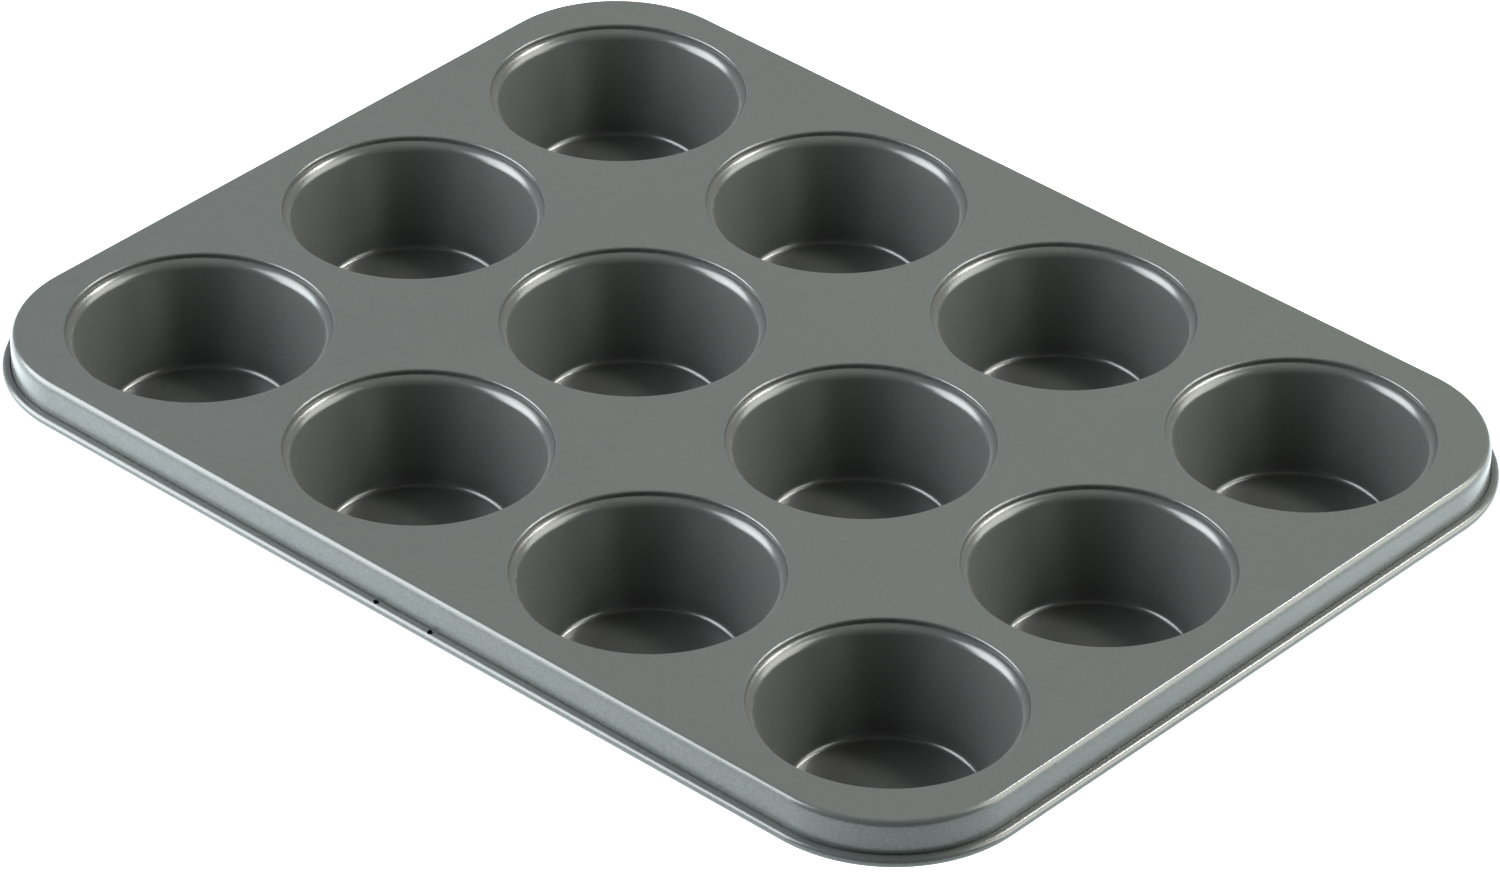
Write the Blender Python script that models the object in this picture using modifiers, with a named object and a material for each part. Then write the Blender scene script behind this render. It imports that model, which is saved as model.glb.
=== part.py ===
"""Muffin tin with twelve cups, Blender 4.5.

A sheet-metal deck with twelve collared holes carries twelve separately drawn
cups. Each cup's mouth is turned over into a rounded shoulder just below the
deck, runs down inside the deck's collar and is hemmed round the collar's
lower edge. The deck's skirt ends in a bead rolled round a wire.

Frame: +X along the rows of four cups, +Y along the columns of three, +Z up.
Origin: centre of the grid of cups, on the plane the cups stand on.
All lengths are in metres.
"""

import math

import bmesh
import bpy
from mathutils import Vector

MM = 0.001

# ---------------------------------------------------------------- dimensions
COLUMNS, ROWS = 4, 3
PITCH = 84.0 * MM               # cup centre to cup centre, both ways
SHEET = 0.5 * MM                # thickness of the deck and of the cups
CUP_DEPTH = 31.2 * MM           # deck top to the inside of a cup's floor
DECK_Z = CUP_DEPTH + SHEET      # deck top
GAP = 0.3 * MM                  # clearance between cup and collar

# Skirt, measured to its outer face
SKIRT_X = 173.8 * MM            # half length along X
SKIRT_Y = 132.0 * MM            # half length along Y
SKIRT_CORNER = 39.0 * MM        # plan radius of the corners
CORNER_X = SKIRT_X - SKIRT_CORNER   # centres of the corners
CORNER_Y = SKIRT_Y - SKIRT_CORNER
DECK_BEND = 1.6 * MM            # deck to skirt, outer radius

# Flange at the skirt's foot, and the bead beyond it
FOOT_FILLET = 0.15 * MM         # skirt to flange, radius of the outer face
FLANGE_Z = DECK_Z - 9.8 * MM    # top of the flange and of the bead
BEAD_RADIUS = 1.45 * MM         # outer radius of the rolled bead
BEAD_OUT = 1.25 * MM            # bead axis outboard of the skirt
BEAD_Z = FLANGE_Z - BEAD_RADIUS     # bead axis
WIRE_RADIUS = 0.6 * MM          # wire inside the bead

# Two vent holes in the flange, on the -Y side
VENT_X = (-9.6 * MM, 10.2 * MM)
VENT_OUT = 0.92 * MM            # their centres outboard of the skirt
VENT_RADIUS = 0.85 * MM
CUTTER_ABOVE = 1.0 * MM         # reach of the cutters above the flange's top
CUTTER_BELOW = SHEET + 0.25 * MM    # and below it

# Collared holes in the deck
HOLE_EDGE = 37.35 * MM          # radius where the deck starts to turn down
HOLE_BEND = 0.6 * MM            # radius of that turn
COLLAR_RADIUS = HOLE_EDGE - HOLE_BEND   # collar's face towards the cup
COLLAR_FOOT_Z = DECK_Z - 3.4 * MM       # collar's lower edge

# Cups
SHOULDER_RADIUS = 3.34 * MM     # arc of the shoulder's upper face
SHOULDER_HUB = 37.42 * MM       # that arc's centre, from the cup's axis
SHOULDER_CREST = 1.30 * MM      # its crest, if carried on, below the deck
FLOOR_RADIUS = 26.77 * MM       # where inner wall and floor would meet
FLOOR_FILLET = 2.0 * MM         # inside radius between wall and floor
HEM_RISE = 1.5 * MM             # hem's tip above the inside of its fold

RING_FACETS = 24                # round a cup or a collar
CORNER_FACETS = 8               # round a corner of the skirt
VENT_FACETS = 12                # round a vent cutter

WELD_DISTANCE = 0.01 * MM       # vertices closer than this are merged


# ------------------------------------------------------------------- helpers
def arc(centre, radius, start, end, steps):
    """Points of an arc, angles in degrees from the first axis to the second."""
    points = []
    for k in range(steps + 1):
        angle = math.radians(start + (end - start) * k / steps)
        points.append((centre[0] + radius * math.cos(angle),
                       centre[1] + radius * math.sin(angle)))
    return points


def skirt_outline(offset):
    """Rounded rectangle parallel to the skirt, offset outwards."""
    points = []
    for quarter, (side_x, side_y) in enumerate(((1, 1), (-1, 1),
                                                (-1, -1), (1, -1))):
        points += arc((side_x * CORNER_X, side_y * CORNER_Y),
                      SKIRT_CORNER + offset,
                      start=90.0 * quarter, end=90.0 * (quarter + 1),
                      steps=CORNER_FACETS)
    return points


def cup_places():
    """Map each cup's name to its centre, row 1 on the -Y side."""
    return {"cup_r%dc%d" % (row + 1, col + 1):
            ((col - (COLUMNS - 1) / 2.0) * PITCH,
             (row - (ROWS - 1) / 2.0) * PITCH)
            for row in range(ROWS) for col in range(COLUMNS)}


def add_closed_spline(curve, points, z):
    """Add a closed polyline at height z to a curve."""
    spline = curve.splines.new("POLY")
    spline.points.add(len(points) - 1)
    spline.use_cyclic_u = True
    for point, (x, y) in zip(spline.points, points):
        point.co = (x, y, z, 1.0)
    return spline


def make_material(name, colour, roughness, metallic):
    material = bpy.data.materials.new(name)
    material.use_nodes = True
    shader = material.node_tree.nodes["Principled BSDF"]
    shader.inputs["Base Color"].default_value = colour
    shader.inputs["Roughness"].default_value = roughness
    shader.inputs["Metallic"].default_value = metallic
    material.diffuse_color = colour
    return material


def add_part(name, data, location=(0.0, 0.0, 0.0)):
    """Add a piece of the tin, parented to the root."""
    part = bpy.data.objects.new(name, data)
    parts.objects.link(part)
    part.location = location
    part.parent = root
    return part


# ---------------------------------------------------------------- deck plate
def filled_deck():
    """Flat mesh of the deck with its holes, filled as a 2D curve."""
    curve = bpy.data.curves.new("deck_outline", "CURVE")
    curve.dimensions = "2D"
    curve.fill_mode = "BOTH"
    add_closed_spline(curve, skirt_outline(-DECK_BEND), z=0.0)
    for centre in cup_places().values():
        # The arc's last point repeats its first.
        circle = arc(centre, HOLE_EDGE, start=0.0, end=360.0,
                     steps=RING_FACETS)[:-1]
        add_closed_spline(curve, circle, z=0.0)
    guide = bpy.data.objects.new("deck_outline", curve)
    cutters.objects.link(guide)
    depsgraph = bpy.context.evaluated_depsgraph_get()
    mesh = bpy.data.meshes.new_from_object(guide.evaluated_get(depsgraph))
    mesh.name = "deck_plate"
    bpy.data.objects.remove(guide, do_unlink=True)
    return mesh


def collar_stations():
    """(radius from the hole's axis, z) down from the hole's edge."""
    bend = arc((HOLE_EDGE, DECK_Z - HOLE_BEND), HOLE_BEND,
               start=90.0, end=180.0, steps=2)
    return bend[1:] + [(COLLAR_RADIUS, COLLAR_FOOT_Z)]


def rim_stations():
    """(radius from the corner's centre, z) from the bend to the bead's end."""
    profile = arc((-DECK_BEND, DECK_Z - DECK_BEND), DECK_BEND,
                  start=90.0, end=0.0, steps=3)[1:]
    profile += arc((FOOT_FILLET, FLANGE_Z + FOOT_FILLET), FOOT_FILLET,
                   start=180.0, end=270.0, steps=2)
    profile += arc((BEAD_OUT, BEAD_Z), BEAD_RADIUS,
                   start=90.0, end=-180.0, steps=6)
    return [(SKIRT_CORNER + offset, z) for offset, z in profile]


def hole_centre(vert):
    """Centre of the hole whose edge the vertex lies on, or None."""
    reach = HOLE_EDGE * 1.02    # slightly wider than the hole's edge
    for x, y in cup_places().values():
        if math.hypot(vert.co.x - x, vert.co.y - y) < reach:
            return x, y
    return None


def corner_centre(vert):
    """Nearest point of the rectangle joining the corners' centres."""
    return (max(-CORNER_X, min(CORNER_X, vert.co.x)),
            max(-CORNER_Y, min(CORNER_Y, vert.co.y)))


def draw_boundary(sheet, edges, stations, centre_of):
    """Draw boundary edges on through the stations, radially from centres."""
    for radius, z in stations:
        made = bmesh.ops.extrude_edge_only(sheet, edges=edges)["geom"]
        new_verts = {item for item in made
                     if isinstance(item, bmesh.types.BMVert)}
        for vert in new_verts:
            x, y = centre_of(vert)
            outward = Vector((vert.co.x - x, vert.co.y - y)).normalized()
            vert.co = (x + outward.x * radius, y + outward.y * radius, z)
        edges = [item for item in made
                 if isinstance(item, bmesh.types.BMEdge)
                 and item.verts[0] in new_verts
                 and item.verts[1] in new_verts]


def deck_mesh(material):
    """The deck's outer surface as one open sheet.

    The hole edges of the flat deck are drawn down into collars, and its
    outer edge through the bend, the skirt, the flange and the rolled bead.
    """
    mesh = filled_deck()
    sheet = bmesh.new()
    sheet.from_mesh(mesh)
    bmesh.ops.remove_doubles(sheet, verts=sheet.verts, dist=WELD_DISTANCE)
    for vert in sheet.verts:
        vert.co.z = DECK_Z

    boundary = [edge for edge in sheet.edges if edge.is_boundary]
    hole_edges = [edge for edge in boundary if hole_centre(edge.verts[0])]
    rim_edges = [edge for edge in boundary if not hole_centre(edge.verts[0])]
    draw_boundary(sheet, hole_edges, collar_stations(), hole_centre)
    draw_boundary(sheet, rim_edges, rim_stations(), corner_centre)

    # The sheet is thickened against its normals, so the deck must face up.
    bmesh.ops.recalc_face_normals(sheet, faces=sheet.faces)
    top_face = max(sheet.faces, key=lambda face: face.calc_center_median().z)
    if top_face.normal.z < 0.0:
        bmesh.ops.reverse_faces(sheet, faces=sheet.faces)
    sheet.to_mesh(mesh)
    sheet.free()
    mesh.shade_smooth()
    mesh.set_sharp_from_angle(angle=math.radians(50.0))
    mesh.materials.append(material)
    return mesh


def add_vent_cutter(name, x):
    """An upright cylinder through the flange outside the skirt."""
    mesh = bpy.data.meshes.new(name)
    cylinder = bmesh.new()
    bmesh.ops.create_cone(cylinder, cap_ends=True, segments=VENT_FACETS,
                          radius1=VENT_RADIUS, radius2=VENT_RADIUS,
                          depth=CUTTER_ABOVE + CUTTER_BELOW)
    cylinder.to_mesh(mesh)
    cylinder.free()
    cutter = bpy.data.objects.new(name, mesh)
    cutter.location = (x, -(SKIRT_Y + VENT_OUT),
                       FLANGE_Z + (CUTTER_ABOVE - CUTTER_BELOW) / 2.0)
    cutter.hide_render = True
    cutter.display_type = "WIRE"
    cutters.objects.link(cutter)
    return cutter


def add_deck(material):
    """The deck, thickened inwards and pierced by the vents."""
    deck = add_part("deck_plate", deck_mesh(material))
    thicken = deck.modifiers.new("sheet", "SOLIDIFY")
    thicken.thickness = SHEET
    thicken.offset = -1.0
    thicken.use_even_offset = True
    thicken.use_quality_normals = True
    for number, x in enumerate(VENT_X, start=1):
        vent = deck.modifiers.new("vent_%d" % number, "BOOLEAN")
        vent.operation = "DIFFERENCE"
        vent.solver = "EXACT"
        vent.object = add_vent_cutter("vent_cutter_%d" % number, x)


# ------------------------------------------------------------------ rim wire
def add_rim_wire(material):
    """The closed wire that the skirt's foot is rolled round."""
    curve = bpy.data.curves.new("rim_wire", "CURVE")
    curve.dimensions = "3D"
    curve.bevel_depth = WIRE_RADIUS
    curve.bevel_resolution = 2
    curve.twist_mode = "Z_UP"
    spline = add_closed_spline(curve, skirt_outline(BEAD_OUT), z=BEAD_Z)
    spline.use_smooth = True
    curve.materials.append(material)
    add_part("rim_wire", curve)


# ---------------------------------------------------------------------- cups
def cup_profile():
    """Closed section of a cup, as (radius, z) points.

    It runs from the axis across the inside of the floor, up the wall, over
    the shoulder, down inside the collar and round the collar's lower edge,
    then back along the sheet's other face to the axis.
    """
    leg = COLLAR_RADIUS - GAP                    # leg's face to the collar
    hub_z = DECK_Z - SHOULDER_CREST - SHOULDER_RADIUS
    shoulder_hub = (SHOULDER_HUB, hub_z)

    # Angles short of the crest where the shoulder's two faces meet the leg.
    upper_stop = math.degrees(math.asin((SHOULDER_HUB - leg)
                                        / SHOULDER_RADIUS))
    under_stop = math.degrees(math.asin((SHOULDER_HUB - leg + SHEET)
                                        / (SHOULDER_RADIUS - SHEET)))

    # The wall leans so that it is tangent to the shoulder's arc and meets
    # the floor at FLOOR_RADIUS; a few rounds settle the angle.
    lean = math.radians(15.0)
    for _ in range(30):
        tangent_r = SHOULDER_HUB - SHOULDER_RADIUS * math.cos(lean)
        tangent_z = hub_z + SHOULDER_RADIUS * math.sin(lean)
        lean = math.atan((tangent_r - FLOOR_RADIUS) / (tangent_z - SHEET))
    taper = math.degrees(lean)

    # Centre of the fillet that touches both the wall and the floor.
    fillet_z = SHEET + FLOOR_FILLET
    fillet_r = tangent_r + ((fillet_z - tangent_z) * math.sin(lean)
                            - FLOOR_FILLET) / math.cos(lean)
    fillet = (fillet_r, fillet_z)

    fold_z = COLLAR_FOOT_Z - GAP                 # inside of the fold
    hem_tip = fold_z + HEM_RISE
    hem = COLLAR_RADIUS + SHEET + GAP            # hem's face to the collar

    points = [(0.0, SHEET)]
    points += arc(fillet, FLOOR_FILLET, start=-90.0, end=-taper, steps=2)
    points += arc(shoulder_hub, SHOULDER_RADIUS,
                  start=180.0 - taper, end=90.0 + upper_stop, steps=3)
    points += [
        (leg, fold_z),
        (hem, fold_z),
        (hem, hem_tip),
        (hem + SHEET, hem_tip),
        (hem + SHEET, fold_z - SHEET),
        (leg - SHEET, fold_z - SHEET),
    ]
    points += arc(shoulder_hub, SHOULDER_RADIUS - SHEET,
                  start=90.0 + under_stop, end=180.0 - taper, steps=2)
    points += arc(fillet, FLOOR_FILLET + SHEET,
                  start=-taper, end=-90.0, steps=2)
    points.append((0.0, 0.0))
    return points


def cup_section(material):
    """The cup's profile as a chain of edges in the XZ plane."""
    profile = cup_profile()
    mesh = bpy.data.meshes.new("cup")
    mesh.from_pydata([(radius, 0.0, z) for radius, z in profile],
                     [(k, k + 1) for k in range(len(profile) - 1)], [])
    mesh.materials.append(material)
    return mesh


def add_cups(material):
    """Twelve cups sharing one section, each turned about its own axis."""
    section = cup_section(material)
    for name, (x, y) in cup_places().items():
        cup = add_part(name, section, location=(x, y, 0.0))
        turn = cup.modifiers.new("turned", "SCREW")
        turn.axis = "Z"
        turn.angle = 2.0 * math.pi
        turn.steps = RING_FACETS
        turn.render_steps = RING_FACETS
        turn.use_merge_vertices = True
        turn.merge_threshold = WELD_DISTANCE
        turn.use_smooth_shade = True


# --------------------------------------------------------------------- build
for leftover in list(bpy.data.objects):
    bpy.data.objects.remove(leftover, do_unlink=True)

parts = bpy.data.collections.new("muffin_tin")
cutters = bpy.data.collections.new("muffin_tin_cutters")
for collection in (parts, cutters):
    bpy.context.scene.collection.children.link(collection)

root = bpy.data.objects.new("muffin_tin_root", None)
parts.objects.link(root)

add_deck(make_material("deck_coating", colour=(0.165, 0.175, 0.172, 1.0),
                       roughness=0.38, metallic=0.85))
add_rim_wire(make_material("steel_wire", colour=(0.12, 0.12, 0.12, 1.0),
                           roughness=0.50, metallic=1.0))
add_cups(make_material("cup_coating", colour=(0.115, 0.115, 0.112, 1.0),
                       roughness=0.30, metallic=0.85))

bpy.context.view_layer.update()
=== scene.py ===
"""Muffin tin: a deck plate with a wire rolled into its rim, and tapered cups hemmed into it.

The tin stands on z = 0, centred on the z axis with its sides along x and y. The camera
looks down on it from +x, -y, towards the side (-y) that has the two vent holes.
"""
import math

import bmesh
import bpy
from mathutils import Matrix, Vector


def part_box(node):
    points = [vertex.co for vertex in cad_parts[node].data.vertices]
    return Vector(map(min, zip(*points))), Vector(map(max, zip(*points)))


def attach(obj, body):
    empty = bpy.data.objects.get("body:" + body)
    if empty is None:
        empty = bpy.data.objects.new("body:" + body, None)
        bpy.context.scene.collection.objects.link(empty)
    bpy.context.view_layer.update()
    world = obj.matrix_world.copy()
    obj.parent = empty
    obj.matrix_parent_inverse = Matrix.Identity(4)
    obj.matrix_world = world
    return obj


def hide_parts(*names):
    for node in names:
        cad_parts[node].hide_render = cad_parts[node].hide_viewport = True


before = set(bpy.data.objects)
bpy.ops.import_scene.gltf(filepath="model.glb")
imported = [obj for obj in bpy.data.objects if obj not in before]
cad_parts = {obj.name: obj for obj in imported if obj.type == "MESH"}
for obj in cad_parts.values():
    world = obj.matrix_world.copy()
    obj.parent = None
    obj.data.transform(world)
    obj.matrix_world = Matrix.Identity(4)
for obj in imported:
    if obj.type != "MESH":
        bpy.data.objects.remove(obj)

MM = 0.001
scene = bpy.context.scene
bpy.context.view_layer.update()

# ------------------------------------------------------------- sizes, from CAD
deck_low, deck_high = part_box("deck_plate")
cup_nodes = sorted(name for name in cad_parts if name.startswith("cup_"))
centres = {}                              # each cup's axis, as (x, y)
for cup_node in cup_nodes:
    box_low, box_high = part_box(cup_node)
    centres[cup_node] = ((box_low.x + box_high.x) / 2.0, (box_low.y + box_high.y) / 2.0)

TOP = deck_high.z                         # deck's upper face
RIM_X, RIM_Y = deck_high.x, deck_high.y   # outside of the rolled bead
SHEET = 0.5 * MM                          # thickness of deck and cups

# bead and wire; "out" is measured outwards from the skirt
BEAD_R = 1.45 * MM
BEAD_OUT = 1.25 * MM                      # bead's centre
BEAD_Z = deck_low.z + BEAD_R
BEAD_END = -186.0                         # angle at which the rolled sheet ends, degrees
WIRE_R = 0.6 * MM
FLANGE_Z = deck_low.z + 2.0 * BEAD_R      # flange's top, level with the bead's

# skirt
SKIRT_X = RIM_X - BEAD_OUT - BEAD_R
SKIRT_Y = RIM_Y - BEAD_OUT - BEAD_R
SKIRT_CORNER = 39.0 * MM
CORNER_X, CORNER_Y = SKIRT_X - SKIRT_CORNER, SKIRT_Y - SKIRT_CORNER   # corner's centre

# bend from deck to skirt: tighter at the deck, easing into the skirt
DECK_BEND = 1.6 * MM        # inset of the flat deck's edge, before the margin
BEND_TOP = 1.3 * MM
BEND_LOW = 3.5 * MM
BEND_SPLIT = 35.0           # angle where one radius takes over from the other, degrees
FLAT_MARGIN = 0.6 * MM      # flat left between the filled face and each bend

# crease between skirt and flange
CREASE_R = 0.075 * MM       # radius at its bottom
CREASE_TURN = 0.56 * MM     # radius of the turn that leads out to the flange
CREASE_OPEN = 158.0         # angle where that turn begins, degrees

# holes in the deck and the collars that hang from them
HOLE_EDGE = 37.35 * MM      # where the flat deck starts to bend down
HOLE_BEND = 0.6 * MM
COLLAR_R = HOLE_EDGE - HOLE_BEND
COLLAR_Z = TOP - 3.4 * MM   # collar's lower end

# cups
SEAM = 0.01 * MM            # gap between leg and collar: the crimped seam is tight
LEG = COLLAR_R - SEAM       # outside of the upright leg within the collar
STEP = 1.38 * MM            # shoulder's top below the deck
EDGE_R = 0.04 * MM          # shoulder's edge beside the collar
EDGE_SLOPE = 12.6           # shoulder's slope at that edge, degrees
SHOULDER_R = 3.34 * MM
FLOOR_R = 26.77 * MM        # where wall and floor would meet
FLOOR_FILLET = 2.0 * MM
TAPER_GUESS = 14.4          # first guess at the wall's lean, degrees
HEM_GAP = 0.3 * MM          # hem's clearance below and outside the collar
HEM_RISE = 1.5 * MM
HEM_FOLD = 0.35 * MM        # inner radius of the hem's two bends

# vents, through the flange on the -y side
VENT_X = (-9.6 * MM, 10.2 * MM)
VENT_OUT = 1.04 * MM
VENT_R = 0.97 * MM
VENT_ABOVE = 1.0 * MM               # cutter's reach above and below the flange's top
VENT_BELOW = SHEET + 0.25 * MM
VENT_MARGIN = 0.2 * MM              # from a vent to the extra edges beside it
VENT_STRIP = 14.0 * MM              # faces this near a vent in x get those edges
VENT_INSET = 2.0 * MM               # and only those beyond this far inside the skirt

# points round each hole and each cup, so that the two match
RING = [(math.cos(2 * math.pi * k / 144), math.sin(2 * math.pi * k / 144))
        for k in range(144)]


# -------------------------------------------------------------- outline helpers
def arc(centre_r, centre_z, radius, start, end, steps):
    """Points along an arc; angles in degrees."""
    points = []
    for k in range(steps + 1):
        angle = math.radians(start + (end - start) * k / steps)
        points.append((centre_r + radius * math.cos(angle),
                       centre_z + radius * math.sin(angle)))
    return points


def divide(start, end, steps):
    """Points strictly between start and end."""
    return [(start[0] + (end[0] - start[0]) * k / steps,
             start[1] + (end[1] - start[1]) * k / steps)
            for k in range(1, steps)]


def join(*runs):
    """Joins runs of points, leaving out repeats."""
    joined = []
    for run in runs:
        for point in run:
            if not joined or math.dist(joined[-1], point) >= 1e-7:
                joined.append(point)
    return joined


def outline(offset, corner_steps, side_steps):
    """Rounded rectangle parallel to the skirt, with points along its sides."""
    radius = SKIRT_CORNER + offset
    corners = []
    for quarter, (sign_x, sign_y) in enumerate(((1, 1), (-1, 1), (-1, -1), (1, -1))):
        start = 90.0 * quarter
        corners.append(arc(sign_x * CORNER_X, sign_y * CORNER_Y, radius,
                           start, start + 90.0, corner_steps))
    points = []
    for k, corner in enumerate(corners):
        points += corner
        points += divide(corner[-1], corners[(k + 1) % 4][0], side_steps)
    return points


# ------------------------------------------------------- mesh and object helpers
def add_object(name, data):
    obj = bpy.data.objects.new(name, data)
    scene.collection.objects.link(obj)
    return obj


def register(obj, node):
    """Tells the frame which CAD node a piece stands for."""
    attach(obj, "root")
    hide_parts(node)


def set_material(mesh, material):
    mesh.materials.clear()
    mesh.materials.append(material)


def finish_mesh(build, name):
    """Turns a bmesh into a named mesh and frees it."""
    mesh = bpy.data.meshes.new(name)
    build.to_mesh(mesh)
    build.free()
    return mesh


def evaluated_mesh(obj):
    """An object's mesh with its modifiers or curve settings applied."""
    bpy.context.view_layer.update()
    depsgraph = bpy.context.evaluated_depsgraph_get()
    return bpy.data.meshes.new_from_object(obj.evaluated_get(depsgraph))


def add_loop(curve, points, height=0.0):
    """Adds a closed polyline to a curve."""
    spline = curve.splines.new("POLY")
    spline.points.add(len(points) - 1)
    spline.use_cyclic_u = True
    for point, (x, y) in zip(spline.points, points):
        point.co = (x, y, height, 1.0)
    return spline


def curve_mesh(curve, name):
    guide = add_object(name + "_guide", curve)
    mesh = evaluated_mesh(guide)
    bpy.data.objects.remove(guide, do_unlink=True)
    mesh.name = name
    return mesh


# ------------------------------------------------------------------ materials
class NodeNet:
    """The node tree of a material or world, with short ways to add to it."""

    def __init__(self, owner, clear=False):
        owner.use_nodes = True
        self.tree = owner.node_tree
        if clear:
            self.tree.nodes.clear()
        self.coords = self.new("TexCoord").outputs

    def fill(self, node, inputs):
        """Links or sets inputs, given as {name or index: socket or value}."""
        for key, value in inputs.items():
            if isinstance(value, bpy.types.NodeSocket):
                self.tree.links.new(value, node.inputs[key])
            else:
                node.inputs[key].default_value = value

    def new(self, kind, inputs=None, **settings):
        node = self.tree.nodes.new("ShaderNode" + kind)
        for key, value in settings.items():
            setattr(node, key, value)
        self.fill(node, inputs or {})
        return node

    def surface(self, inputs):
        self.fill(self.tree.nodes["Principled BSDF"], inputs)

    def noise(self, scale, detail, roughness, vector=None):
        return self.new("TexNoise", {"Scale": scale, "Detail": detail,
                                     "Roughness": roughness,
                                     "Vector": vector or self.coords["Object"]}
                        ).outputs["Fac"]

    def ramp(self, value, span, to, **settings):
        """Maps the range span to the range to, clamped at its ends."""
        return self.new("MapRange", {"From Min": span[0], "From Max": span[1],
                                     "To Min": to[0], "To Max": to[1],
                                     "Value": value}, **settings).outputs["Result"]

    def calc(self, operation, *values):
        return self.new("Math", dict(enumerate(values)),
                        operation=operation).outputs["Value"]

    def dot(self, vector, axis):
        return self.new("VectorMath", {0: vector, 1: axis},
                        operation="DOT_PRODUCT").outputs["Value"]

    def mix(self, factor, first, second, data_type="RGBA"):
        # the node has a pair of inputs and an output for every data type
        pair, result = {"FLOAT": (2, 0), "RGBA": (6, 2)}[data_type]
        return self.new("Mix", {0: factor, pair: first, pair + 1: second},
                        data_type=data_type).outputs[result]

    def bump(self, height, strength, distance, normal=None):
        inputs = {"Strength": strength, "Distance": distance, "Height": height}
        if normal is not None:
            inputs["Normal"] = normal
        return self.new("Bump", inputs).outputs["Normal"]


DECK_COLOUR = (0.0500, 0.0545, 0.0530)
CUP_COLOUR = (0.0500, 0.0520, 0.0505)
WORN_COLOUR = (0.11, 0.115, 0.115, 1.0)
WEAR = 0.35                 # most that worn edges take of that colour
ROUGH = 0.24                # mean roughness, and its drift and speckle each way
ROUGH_DRIFT = 0.02
ROUGH_SPECK = 0.008
# painted shade: how dark the cup coating is made at a cup's floor
CUP_FLOOR_SHADE = 0.78            # brightness at a cup's floor, against its mouth
GRIT = 1.2                  # swing in brightness of the skirt's grit
PEEL = 0.35                 # bump strengths of orange peel, grain and grooves
GRAIN = 0.35
GROOVES = 0.35
GROOVE_SCALE = 2200.0       # noise scale across the grooves
GROOVE_RUN = 0.0014         # noise-space radius round the axis: smaller is longer


def coating(name, colour, drift, drawn=False):
    """Dark grey non-stick coating with a satin finish.

    drift is how far the colour slowly strays each way, as a fraction. Orange
    peel and grain are a few tenths of a millimetre across. Sharp convex edges
    are rubbed a little brighter. A drawn cup also shows faint grooves round
    its shoulder, from the drawing tool.
    """
    material = bpy.data.materials.new(name)
    net = NodeNet(material)
    patches = net.noise(scale=14.0, detail=3.0, roughness=0.55)
    flake = net.noise(scale=2600.0, detail=2.0, roughness=0.6)
    speck = net.noise(scale=900.0, detail=3.0, roughness=0.65)
    peel = net.noise(scale=1100.0, detail=2.0, roughness=0.5)
    cloud = net.noise(scale=60.0, detail=4.0, roughness=0.6)

    dark, light = (tuple(gain * part for part in colour) + (1.0,)
                   for gain in (1.0 - drift, 1.0 + drift))
    base = net.mix(net.ramp(patches, span=(0.3, 0.7), to=(0.0, 1.0)), dark, light)
    gain = net.calc("MULTIPLY", net.ramp(speck, span=(0.35, 0.68), to=(0.965, 1.035)),
                    net.ramp(flake, span=(0.3, 0.7), to=(0.97, 1.03)))
    geometry = net.new("NewGeometry").outputs
    if drawn:
        # painted shade: the coating's colour is darkened towards the bottom of a cup, where
        # shade falls deep in the cup
        parts = net.new("SeparateXYZ", {"Vector": net.coords["Object"]}).outputs
        shade = net.ramp(parts["Z"], span=(0.5 * MM, 7.0 * MM), to=(CUP_FLOOR_SHADE, 1.0))
        gain = net.calc("MULTIPLY", gain, shade)
    else:
        # the sprayed skirt is grittier than the rolled deck
        parts = net.new("SeparateXYZ", {"Vector": geometry["Normal"]}).outputs
        grit = net.noise(scale=1300.0, detail=2.0, roughness=0.7)
        upright = net.ramp(net.calc("ABSOLUTE", parts["Z"]),
                           span=(0.2, 0.7), to=(GRIT, 0.0))
        swing = net.calc("MULTIPLY", net.calc("SUBTRACT", grit, 0.5), upright)
        gain = net.calc("MULTIPLY", gain, net.calc("ADD", swing, 1.0))
    scaled = net.new("VectorMath", {0: base, "Scale": gain}, operation="SCALE")
    # wear: convex edges, from the surface's own curvature
    edge = net.ramp(geometry["Pointiness"], span=(0.515, 0.60), to=(0.0, 1.0))
    worn = net.calc("MULTIPLY", edge,
                    net.ramp(cloud, span=(0.42, 0.62), to=(0.0, WEAR)))
    final = net.mix(worn, scaled.outputs["Vector"], WORN_COLOUR)

    rough = net.calc("ADD",
                     net.ramp(cloud, span=(0.3, 0.7),
                              to=(ROUGH - ROUGH_DRIFT, ROUGH + ROUGH_DRIFT)),
                     net.ramp(speck, span=(0.2, 0.8), to=(-ROUGH_SPECK, ROUGH_SPECK)))
    normal = net.bump(peel, strength=PEEL, distance=0.05 * MM)
    normal = net.bump(flake, strength=GRAIN, distance=0.03 * MM, normal=normal)
    if drawn:
        normal = grooves(net, normal)
    net.surface({"Base Color": final, "Metallic": 0.0, "IOR": 1.5,
                 "Roughness": rough, "Normal": normal})
    return material


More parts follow.
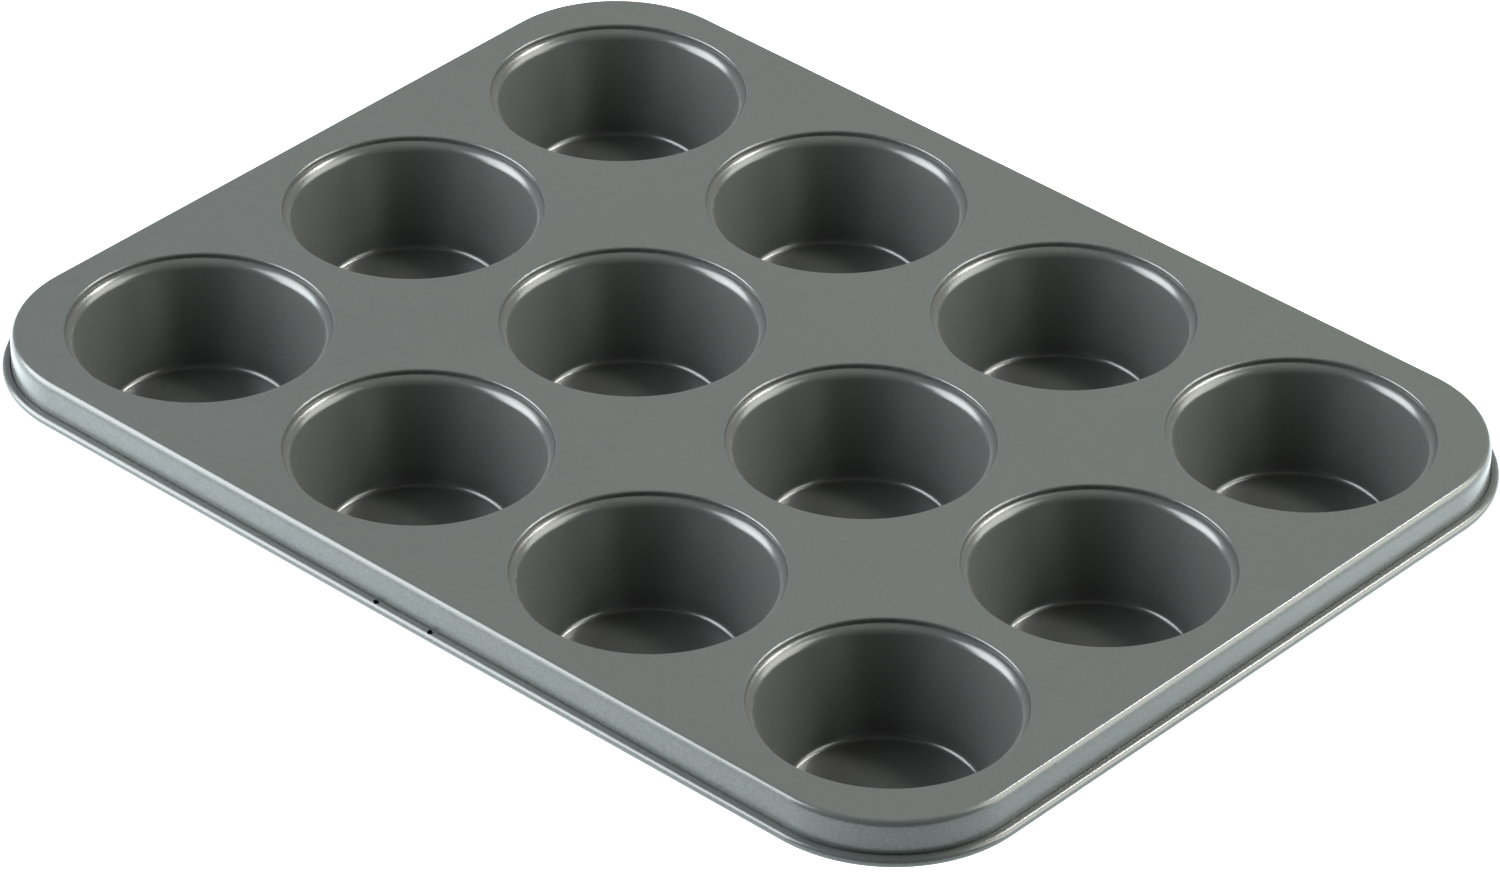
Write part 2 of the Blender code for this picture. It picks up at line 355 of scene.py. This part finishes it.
def grooves(net, normal):
    """Fine grooves running round the cup's axis, strongest at its mouth."""
    parts = net.new("SeparateXYZ", {"Vector": net.coords["Object"]})
    x, y, z = (parts.outputs[key] for key in "XYZ")
    radius = net.calc("POWER", net.calc("ADD", net.calc("MULTIPLY", x, x),
                                        net.calc("MULTIPLY", y, y)), 0.5)

    def around(side):
        return net.calc("MULTIPLY", net.calc("DIVIDE", side, radius), GROOVE_RUN)

    # 4D noise over radius, height and a small circle, so that the lines close
    place = net.new("CombineXYZ", {"X": radius, "Y": z, "Z": around(x)})
    lines = net.new("TexNoise", {"Scale": GROOVE_SCALE, "Detail": 2.0,
                                 "Vector": place.outputs["Vector"],
                                 "W": around(y)}, noise_dimensions="4D")
    fade = net.ramp(z, span=(TOP - 9.0 * MM, TOP - 3.0 * MM), to=(0.15, 1.0))
    height = net.calc("MULTIPLY", lines.outputs["Fac"], fade)
    return net.bump(height, strength=GROOVES, distance=0.1 * MM, normal=normal)


def steel_wire():
    """Dull dark steel with fine lines, coloured darker than the steel itself as painted
    shade.
    """
    material = bpy.data.materials.new("wire_steel")
    net = NodeNet(material)
    stretch = net.new("Mapping", {"Vector": net.coords["Object"],
                                  "Scale": (1.0, 1.0, 8.0)})
    lines = net.noise(scale=700.0, detail=3.0, roughness=0.6,
                      vector=stretch.outputs["Vector"])
    tone = net.noise(scale=40.0, detail=3.0, roughness=0.5)
    net.surface({
        # painted shade: this colour is darker than the wire's own, so the vents show dark as
        # the shaded inside of the bead would
        "Base Color": net.mix(tone, (0.032, 0.032, 0.032, 1.0),
                              (0.045, 0.045, 0.043, 1.0)),
        "Metallic": 1.0,
        "Roughness": net.ramp(lines, span=(0.3, 0.7), to=(0.60, 0.75)),
        "Normal": net.bump(lines, strength=0.3, distance=0.04 * MM)})
    return material


deck_coating = coating("deck_coating", DECK_COLOUR, drift=0.03)
cup_coating = coating("cup_coating", CUP_COLOUR, drift=0.04, drawn=True)
wire_steel = steel_wire()


# ----------------------------------------------------------------- deck plate
def flat_deck():
    """The flat of the deck, pierced for the cups, at z = 0."""
    curve = bpy.data.curves.new("deck_outline", "CURVE")
    curve.dimensions = "2D"
    curve.fill_mode = "BOTH"
    add_loop(curve, outline(-DECK_BEND - FLAT_MARGIN, 40, 1))
    radius = HOLE_EDGE + FLAT_MARGIN
    for mid_x, mid_y in centres.values():
        add_loop(curve, [(mid_x + radius * cosine, mid_y + radius * sine)
                         for cosine, sine in RING])
    return curve_mesh(curve, "deck_skin")


def collar_profile():
    """(r, z) from a hole's edge down to the collar's lower end."""
    bend = arc(HOLE_EDGE, TOP - HOLE_BEND, HOLE_BEND, 90.0, 180.0, 10)
    low = (COLLAR_R, COLLAR_Z)
    return bend + divide(bend[-1], low, 3) + [low]


def rim_profile():
    """(distance out from the skirt, z) from the deck's edge round the bead."""
    split = math.radians(BEND_SPLIT)
    ease = BEND_LOW - BEND_TOP
    rim = arc(ease * math.cos(split) - BEND_LOW, TOP - BEND_TOP, BEND_TOP,
              90.0, BEND_SPLIT, 12)
    rim += arc(-BEND_LOW, TOP - BEND_TOP - ease * math.sin(split), BEND_LOW,
               BEND_SPLIT, 0.0, 6)[1:]
    # a pinched crease between the skirt and the flange over the wire
    lean = math.radians(CREASE_OPEN)
    reach = CREASE_R + CREASE_TURN
    crease_z = FLANGE_Z + reach * math.sin(lean) - CREASE_TURN
    foot = arc(CREASE_R, crease_z, CREASE_R, 180.0, CREASE_OPEN + 180.0, 8)
    foot += arc(CREASE_R - reach * math.cos(lean), FLANGE_Z - CREASE_TURN,
                CREASE_TURN, CREASE_OPEN, 90.0, 8)[1:]
    rim += divide(rim[-1], foot[0], 6) + foot
    # the sheet's edge is tucked up behind the wire, close under the crease
    return rim + arc(BEAD_OUT, BEAD_Z, BEAD_R, 90.0, BEAD_END, 38)


def hole_centre(point):
    """Centre of the hole that a point is on the edge of, or None."""
    for mid_x, mid_y in centres.values():
        if math.hypot(point.x - mid_x, point.y - mid_y) < HOLE_EDGE + 2 * FLAT_MARGIN:
            return mid_x, mid_y
    return None


def corner_centre(point):
    """Nearest point of the rectangle through the centres of the skirt's corners."""
    return (max(-CORNER_X, min(CORNER_X, point.x)),
            max(-CORNER_Y, min(CORNER_Y, point.y)))


def draw_edges(build, edges, profile, centre_of, base_radius=0.0):
    """Extrudes edges along a profile, each vertex moving straight out from its centre."""
    for offset, z in profile:
        made = bmesh.ops.extrude_edge_only(build, edges=edges)["geom"]
        fresh = {item for item in made if isinstance(item, bmesh.types.BMVert)}
        radius = base_radius + offset
        for vert in fresh:
            mid_x, mid_y = centre_of(vert.co)
            out = Vector((vert.co.x - mid_x, vert.co.y - mid_y)).normalized()
            vert.co = (mid_x + out.x * radius, mid_y + out.y * radius, z)
        edges = [item for item in made if isinstance(item, bmesh.types.BMEdge)
                 and item.verts[0] in fresh and item.verts[1] in fresh]


def split_at_vents(build):
    """Short faces either side of each vent, so that its cut stays local."""
    for x in VENT_X:
        for step in (-VENT_R - VENT_MARGIN, VENT_R + VENT_MARGIN):
            strip = {face for face in build.faces
                     if abs(face.calc_center_median().x - x) < VENT_STRIP
                     and face.calc_center_median().y < -(SKIRT_Y - VENT_INSET)}
            edges = {edge for face in strip for edge in face.edges}
            verts = {vert for face in strip for vert in face.verts}
            bmesh.ops.bisect_plane(build, geom=list(strip) + list(edges) + list(verts),
                                   dist=1e-7, plane_co=(x + step, 0.0, 0.0),
                                   plane_no=(1.0, 0.0, 0.0))


def deck_sheet():
    """The deck's outer skin, as one open sheet, before it gets thickness."""
    mesh = flat_deck()
    build = bmesh.new()
    build.from_mesh(mesh)
    bmesh.ops.remove_doubles(build, verts=build.verts, dist=0.01 * MM)
    for vert in build.verts:
        vert.co.z = TOP
    hole_edges, rim_edges = [], []
    for edge in build.edges:
        if edge.is_boundary:
            at_hole = hole_centre(edge.verts[0].co) is not None
            (hole_edges if at_hole else rim_edges).append(edge)
    draw_edges(build, hole_edges, collar_profile(), hole_centre)
    draw_edges(build, rim_edges, rim_profile(), corner_centre, SKIRT_CORNER)
    split_at_vents(build)
    bmesh.ops.recalc_face_normals(build, faces=build.faces)
    # the skin's normals point up on the flat deck
    flat = max(build.faces, key=lambda face: (round(face.calc_center_median().z, 6),
                                              face.calc_area()))
    if flat.normal.z < 0.0:
        bmesh.ops.reverse_faces(build, faces=build.faces)
    build.to_mesh(mesh)
    build.free()
    mesh.shade_smooth()
    return mesh


def vent_cutter(name, x):
    """An upright cylinder through the flange between skirt and bead."""
    build = bmesh.new()
    bmesh.ops.create_cone(build, cap_ends=True, segments=40, radius1=VENT_R,
                          radius2=VENT_R, depth=VENT_ABOVE + VENT_BELOW)
    build.transform(Matrix.Translation(
        (x, -(SKIRT_Y + VENT_OUT), FLANGE_Z + (VENT_ABOVE - VENT_BELOW) / 2.0)))
    return add_object(name, finish_mesh(build, name))


def build_deck():
    deck = add_object("deck_plate_skin", deck_sheet())
    solid = deck.modifiers.new("sheet", "SOLIDIFY")
    solid.thickness = SHEET
    solid.offset = -1.0
    solid.use_even_offset = True
    solid.use_quality_normals = True
    vents = [vent_cutter("vent_%d" % (k + 1), x) for k, x in enumerate(VENT_X)]
    for vent in vents:
        cut = deck.modifiers.new(vent.name, "BOOLEAN")
        cut.operation = "DIFFERENCE"
        cut.solver = "EXACT"
        cut.object = vent
    mesh = evaluated_mesh(deck)
    deck.modifiers.clear()
    deck.data = mesh
    for vent in vents:
        bpy.data.objects.remove(vent, do_unlink=True)
    set_material(mesh, deck_coating)
    mesh.shade_smooth()
    mesh.set_sharp_from_angle(angle=math.radians(40.0))
    register(deck, "deck_plate")


build_deck()


# ------------------------------------------------------------------- the wire
def build_wire():
    """A closed loop of round wire inside the bead."""
    curve = bpy.data.curves.new("rim_wire_loop", "CURVE")
    curve.dimensions = "3D"
    curve.bevel_depth = WIRE_R
    curve.bevel_resolution = 6
    curve.twist_mode = "Z_UP"
    add_loop(curve, outline(BEAD_OUT, 32, 12), BEAD_Z).use_smooth = True
    mesh = curve_mesh(curve, "rim_wire_loop")
    mesh.shade_smooth()
    wire = add_object("rim_wire_loop", mesh)
    set_material(mesh, wire_steel)
    register(wire, "rim_wire")


build_wire()


# ----------------------------------------------------------------------- cups
def cup_profile():
    """Section (r, z) of a cup: from the axis along its inside, round the hem and back."""
    # the small rounded edge beside the collar, then the shoulder's arc
    slope = math.radians(EDGE_SLOPE)
    edge_r, edge_z = LEG - EDGE_R, TOP - STEP - EDGE_R
    hub_r = edge_r - EDGE_R * math.sin(slope) + SHOULDER_R * math.sin(slope)
    hub_z = edge_z + EDGE_R * math.cos(slope) - SHOULDER_R * math.cos(slope)
    # wall's lean: tangent to the shoulder, meeting the floor at FLOOR_R
    taper = math.radians(TAPER_GUESS)
    for _ in range(30):
        tangent_r = hub_r - SHOULDER_R * math.cos(taper)
        tangent_z = hub_z + SHOULDER_R * math.sin(taper)
        taper = math.atan((tangent_r - FLOOR_R) / (tangent_z - SHEET))
    lean = math.degrees(taper)
    fillet_z = SHEET + FLOOR_FILLET
    fillet_r = tangent_r + ((fillet_z - tangent_z) * math.sin(taper)
                            - FLOOR_FILLET) / math.cos(taper)
    # bends of the hem, which wraps the collar's lower end
    hem_out = COLLAR_R + SHEET + HEM_GAP
    hem_low = COLLAR_Z - HEM_GAP
    hem_tip = hem_low + HEM_RISE
    fold_z = hem_low + HEM_FOLD
    fold_in, fold_out = LEG + HEM_FOLD, hem_out - HEM_FOLD

    shoulder_end = 90.0 + EDGE_SLOPE
    inner_fillet = arc(fillet_r, fillet_z, FLOOR_FILLET, -90.0, -lean, 12)
    shoulder = arc(hub_r, hub_z, SHOULDER_R, 180.0 - lean, shoulder_end, 20)
    outer_fillet = arc(fillet_r, fillet_z, FLOOR_FILLET + SHEET, -lean, -90.0, 12)
    # the underside leaves the leg where its own arc reaches it
    lip = math.degrees(math.acos((LEG - SHEET - hub_r) / (SHOULDER_R - SHEET)))
    under = arc(hub_r, hub_z, SHOULDER_R - SHEET, lip, 180.0 - lean, 10)
    return join(
        [(0.0, SHEET)],
        divide((0.0, SHEET), inner_fillet[0], 10),
        inner_fillet,
        divide(inner_fillet[-1], shoulder[0], 10),
        shoulder,
        arc(edge_r, edge_z, EDGE_R, shoulder_end, 0.0, 8),
        # inside of the hem
        arc(fold_in, fold_z, HEM_FOLD, 180.0, 270.0, 5),
        arc(fold_out, fold_z, HEM_FOLD, 270.0, 360.0, 5),
        # rounded tip of the hem
        arc(hem_out + SHEET / 2.0, hem_tip - SHEET / 2.0, SHEET / 2.0, 180.0, 0.0, 6),
        # outside of the hem
        arc(fold_out, fold_z, HEM_FOLD + SHEET, 0.0, -90.0, 6),
        arc(fold_in, fold_z, HEM_FOLD + SHEET, -90.0, -180.0, 6),
        under,
        divide(under[-1], outer_fillet[0], 10),
        outer_fillet,
        divide(outer_fillet[-1], (0.0, 0.0), 10),
        [(0.0, 0.0)])


def cup_mesh():
    """The section turned about the z axis."""
    profile = cup_profile()
    build = bmesh.new()
    top_pole = build.verts.new((0.0, 0.0, profile[0][1]))
    low_pole = build.verts.new((0.0, 0.0, profile[-1][1]))
    rows = [[build.verts.new((radius * cosine, radius * sine, z))
             for cosine, sine in RING]
            for radius, z in profile[1:-1]]
    for k in range(len(RING)):
        j = (k + 1) % len(RING)
        build.faces.new((top_pole, rows[0][k], rows[0][j]))
        build.faces.new((low_pole, rows[-1][j], rows[-1][k]))
        for row, following in zip(rows, rows[1:]):
            build.faces.new((row[k], following[k], following[j], row[j]))
    bmesh.ops.recalc_face_normals(build, faces=build.faces)
    mesh = finish_mesh(build, "cup_shell")
    mesh.shade_smooth()
    mesh.set_sharp_from_angle(angle=math.radians(50.0))
    set_material(mesh, cup_coating)
    return mesh


cup_shell = cup_mesh()
for cup_node, (x, y) in centres.items():
    cup = add_object(cup_node + "_shell", cup_shell)
    cup.location = (x, y, 0.0)
    register(cup, cup_node)


# ----------------------------------------------------------------------- stage
# The camera looks along this azimuth; RIGHT and FAR are its ground axes.
VIEW_AZIMUTH = math.radians(41.75)
RIGHT = Vector((math.cos(VIEW_AZIMUTH), math.sin(VIEW_AZIMUTH), 0.0))
FAR = Vector((-math.sin(VIEW_AZIMUTH), math.cos(VIEW_AZIMUTH), 0.0))

FLOOR_GLOW = 2.8            # as the camera sees it
FLOOR_VEIL = 0.34           # least share of glow the camera sees, close to the tin
FLOOR_GREY = (0.85, 0.85, 0.85, 1.0)
BOUNCE = 2.2                # glow as the tin reflects it, and its rise each way
BOUNCE_LEFT = 1.5
BOUNCE_RIGHT = 0.65
BOUNCE_TINT = (0.905, 1.0, 1.03, 1.0)
WHITE = (1.0, 1.0, 1.0, 1.0)


def floor_material():
    """Pale floor that turns from lit grey near the tin to an even glow."""
    material = bpy.data.materials.new("studio_floor")
    net = NodeNet(material, clear=True)
    camera_ray = net.new("LightPath").outputs["Is Camera Ray"]
    # what the tin reflects: a cool glow, stronger towards the two softboxes
    side = net.dot(net.coords["Object"], RIGHT)
    rise = net.calc("ADD", net.ramp(side, span=(0.06, -0.20), to=(0.0, BOUNCE_LEFT)),
                    net.ramp(side, span=(0.14, 0.20), to=(0.0, BOUNCE_RIGHT)))
    bounce = net.calc("ADD", rise, BOUNCE)
    glow = net.new("Emission", {
        "Strength": net.mix(camera_ray, bounce, FLOOR_GLOW, data_type="FLOAT"),
        "Color": net.mix(camera_ray, BOUNCE_TINT, WHITE)})
    # all glow away from the tin; near it the camera sees some shadow
    distance = net.new("VectorMath", {0: net.coords["Object"]},
                       operation="LENGTH").outputs["Value"]
    reach = net.ramp(distance, span=(0.10, 0.17), to=(0.0, 1.0),
                     interpolation_type="SMOOTHSTEP")
    veil = net.calc("MULTIPLY", camera_ray, FLOOR_VEIL)
    share = net.calc("MAXIMUM", veil, reach)
    diffuse = net.new("BsdfDiffuse", {"Color": FLOOR_GREY})
    blend = net.new("MixShader", {0: share, 1: diffuse.outputs["BSDF"],
                                  2: glow.outputs["Emission"]})
    net.new("OutputMaterial", {"Surface": blend.outputs["Shader"]})
    return material


def build_floor():
    build = bmesh.new()
    bmesh.ops.create_circle(build, cap_ends=True, segments=96, radius=60.0)
    mesh = finish_mesh(build, "studio_floor")
    obj = add_object("studio_floor", mesh)
    obj.location = (0.0, 0.0, -0.2 * MM)   # just clear of the cups
    mesh.materials.append(floor_material())


build_floor()

# ---------------------------------------------------------------------- lights
LIGHT_DISTANCE = 2.0
KEY_TINT = (1.0, 0.985, 0.945)


def direction(azimuth, elevation):
    """Unit vector: azimuth from the far side towards the right, in degrees."""
    turn, lift = math.radians(azimuth), math.radians(elevation)
    return (FAR * math.cos(turn) + RIGHT * math.sin(turn)) * math.cos(lift) \
        + Vector((0.0, 0.0, math.sin(lift)))


def softbox(name, tint, azimuth, elevation, across, upright, radiance, spread=180.0):
    """Area light aimed at the tin, spanning across by upright; angles in degrees."""
    width, height = (2.0 * LIGHT_DISTANCE * math.tan(math.radians(span / 2.0))
                     for span in (across, upright))
    data = bpy.data.lights.new(name, "AREA")
    data.shape = "RECTANGLE"
    data.size, data.size_y = width, height
    data.energy = radiance * width * height * math.pi
    data.color = tint
    data.spread = math.radians(spread)
    box = add_object(name, data)
    back = direction(azimuth, elevation)
    box.location = back * LIGHT_DISTANCE
    box.rotation_mode = "QUATERNION"
    box.rotation_quaternion = back.to_track_quat("Z", "Y")
    box.visible_camera = False
    return box


softbox("softbox_left", (0.93, 0.985, 1.0), azimuth=-87.0, elevation=27.5,
        across=46.0, upright=51.0, radiance=5.9, spread=110.0)
softbox("softbox_right", (0.98, 1.0, 0.91), azimuth=87.0, elevation=27.5,
        across=46.0, upright=51.0, radiance=3.45, spread=110.0)
# the key shades the cups' floors; a weaker lamp above it gives the glints
key = softbox("key_light", KEY_TINT, azimuth=62.0, elevation=47.0,
              across=8.0, upright=8.0, radiance=170.0)
key.visible_glossy = False
glint = softbox("glint_light", KEY_TINT, azimuth=50.0, elevation=51.0,
                across=14.0, upright=12.0, radiance=45.0)
glint.visible_diffuse = False

# ----------------------------------------------------------------------- world
FAR_LEVEL, NEAR_LEVEL = 0.65, 0.02   # brightness behind the tin and in front of it
TOP_LEVEL = 0.25                     # extra brightness overhead


def build_world():
    """White to the camera; in reflections bright behind the tin, dark in front."""
    studio = bpy.data.worlds.new("studio")
    scene.world = studio
    net = NodeNet(studio, clear=True)

    def facing(axis, span, to):
        return net.ramp(net.dot(net.coords["Generated"], axis), span, to,
                        interpolation_type="SMOOTHSTEP")

    level = net.calc(
        "ADD", facing(FAR, span=(0.0, 0.85), to=(NEAR_LEVEL, FAR_LEVEL)),
        facing(Vector((0.0, 0.0, 1.0)), span=(0.7, 1.0), to=(0.0, TOP_LEVEL)))
    seen = net.new("Background", {"Color": WHITE})
    lit = net.new("Background", {"Strength": level})
    mix = net.new("MixShader", {0: net.new("LightPath").outputs["Is Camera Ray"],
                                1: lit.outputs["Background"],
                                2: seen.outputs["Background"]})
    net.new("OutputWorld", {"Surface": mix.outputs["Shader"]})


build_world()
scene.view_settings.view_transform = "Standard"
scene.view_settings.look = "None"
scene.cycles.sample_clamp_indirect = 2.0

# ---------------------------------------------------------------------- camera
CAMERA_PLACE = Vector((1.196615, -1.338418, 1.210135 + TOP))
CAMERA_FORWARD = Vector((-0.54952601, 0.61567196, -0.56477359))
CAMERA_UP = Vector((-0.38938663, 0.40934815, 0.82511341))


def build_camera():
    data = bpy.data.cameras.new("camera")
    data.sensor_width = 36.0     # both in millimetres
    data.lens = 191.2872
    data.clip_start, data.clip_end = 0.05, 200.0
    camera = add_object("camera", data)
    forward = CAMERA_FORWARD.normalized()
    right = forward.cross(CAMERA_UP).normalized()
    up = right.cross(forward)    # square to the other two
    turn = Matrix((right, up, -forward)).transposed().to_4x4()
    camera.matrix_world = Matrix.Translation(CAMERA_PLACE) @ turn
    scene.camera = camera


build_camera()
